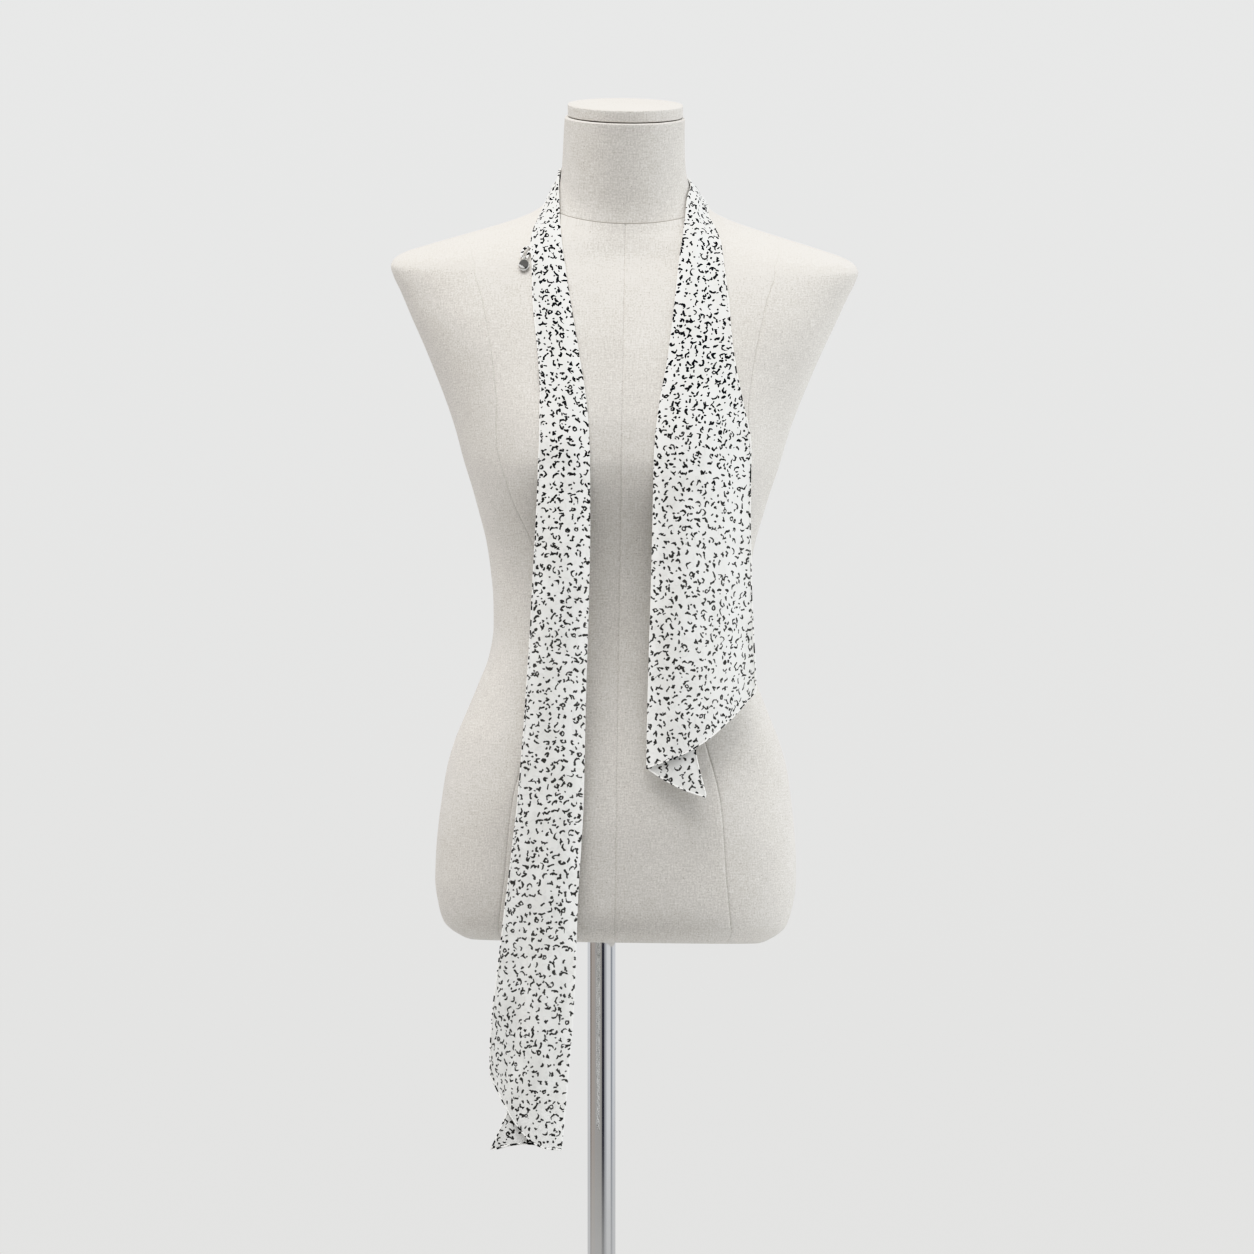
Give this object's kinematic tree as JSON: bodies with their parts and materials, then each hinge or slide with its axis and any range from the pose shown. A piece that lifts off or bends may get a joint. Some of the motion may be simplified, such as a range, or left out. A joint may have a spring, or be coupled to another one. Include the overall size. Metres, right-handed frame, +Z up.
{
  "type": "sheer cravat on a limbless dress form",
  "caption": "Long narrow sheer cravat in a fleck print with a small swinging metal charm, draped unknotted round the neck of a limbless linen dress form on a pole stand.",
  "frame": {"origin": "middle of the underside of the base plate, on the pole's axis", "axes": "+Z up, the front of the form faces -Y, +X is to the viewer's right seen from the front"},
  "size_m": [0.426, 0.38, 1.5317],
  "materials": {
    "torso_linen": "plain-woven natural linen stretched over the body",
    "neck_linen": "plain-woven natural linen stretched over the neck",
    "cap_linen": "linen-covered disc",
    "pole_chrome": "polished",
    "base_paint": "satin powder coat",
    "socket_paint": "satin powder coat",
    "cravat_long_end_cloth": "sheer off-white georgette with a small black fleck print",
    "cravat_back_neck_cloth": "sheer off-white georgette with a small black fleck print",
    "cravat_short_end_cloth": "sheer off-white georgette with a small black fleck print",
    "loop_cloth": "narrow sewn loop of the same cloth",
    "charm_metal": "polished"
  },
  "bodies": {
    "form_and_cravat": {"base_plate": "base_paint", "base_socket": "socket_paint", "pole": "pole_chrome", "dress_form_torso": "torso_linen", "dress_form_neck": "neck_linen", "neck_cap": "cap_linen", "cravat_long_end": "cravat_long_end_cloth", "cravat_back_neck": "cravat_back_neck_cloth", "cravat_short_end": "cravat_short_end_cloth", "charm_loop": "loop_cloth"},
    "charm": {"charm": "charm_metal"}
  },
  "joints": [
    {"name": "charm_swing", "type": "hinge", "parent": "form_and_cravat", "child": "charm", "pos_m": [-0.06891, -0.05443, 1.37685], "axis": [-0.9927, 0.1204, 0], "range_deg": [0, 90]}
  ]
}
